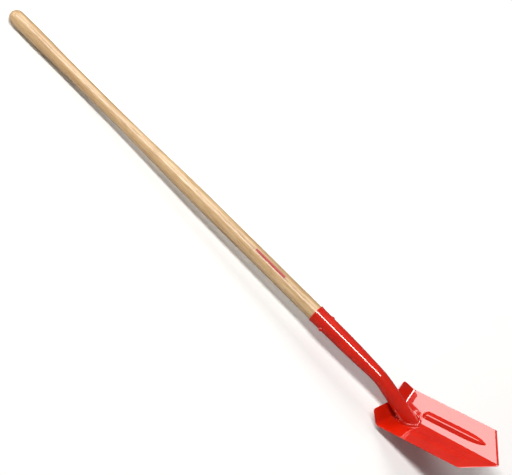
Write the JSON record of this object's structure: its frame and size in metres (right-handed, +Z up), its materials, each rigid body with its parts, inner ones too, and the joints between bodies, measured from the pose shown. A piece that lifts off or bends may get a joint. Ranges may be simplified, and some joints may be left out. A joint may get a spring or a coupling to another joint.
{
  "type": "trenching shovel",
  "caption": "Long-handled trenching shovel: narrow V-shaped pointed steel blade with foot steps, welded socket and turned ash handle.",
  "frame": {"origin": "middle of the footprint on the floor, with the tool lying on its back", "axes": "+Y from the grip end towards the blade's tip, +Z up out of the blade's open side, +X across the blade"},
  "size_m": [0.1356, 1.5744, 0.1854],
  "materials": {
    "ash_wood": "clear lacquer, satin",
    "red_enamel": "gloss"
  },
  "bodies": {
    "root": {"handle": "ash_wood", "socket": "red_enamel", "blade": "red_enamel", "rivet": "red_enamel", "weld_left": "red_enamel", "weld_right": "red_enamel"}
  },
  "joints": []
}
